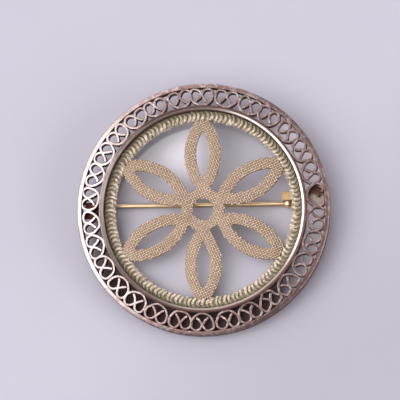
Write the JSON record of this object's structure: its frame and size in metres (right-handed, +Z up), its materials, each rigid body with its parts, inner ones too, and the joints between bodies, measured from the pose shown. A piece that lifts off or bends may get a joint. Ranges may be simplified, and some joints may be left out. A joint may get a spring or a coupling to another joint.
{
  "type": "round openwork brooch",
  "caption": "Round silver brooch with a band of wire scrolls, a milled rim, a pierced gilt rosette and a hinged pin behind.",
  "frame": {"origin": "on the surface the brooch lies on, below the middle of its bounding box", "axes": "+Z up from the surface; X along the closed pin, hinge at +X; the face looks up and leans to -Y"},
  "size_m": [0.04, 0.04, 0.0068],
  "materials": {
    "tarnished_silver": "worn silver with warm brown tarnish",
    "gilt_milling": "pale gilt, milled, greenish in the grooves",
    "gilt_plate": "matted gilt with fine raised grain",
    "brass": "dull brass",
    "brass_wire": "drawn brass, polished by use"
  },
  "bodies": {
    "brooch": {"silver_frame": "tarnished_silver", "milled_rim": "gilt_milling", "openwork_plate": "gilt_plate", "hinge_plate": "brass", "hinge_rivet": "brass", "catch": "brass"},
    "pin": {"pin": "brass_wire"}
  },
  "joints": [
    {"name": "pin_swing", "type": "hinge", "parent": "brooch", "child": "pin", "pos_m": [0.0133, 0.00123, 0.00085], "axis": [0, -0.9948, -0.102], "range_deg": [0, 110]}
  ]
}
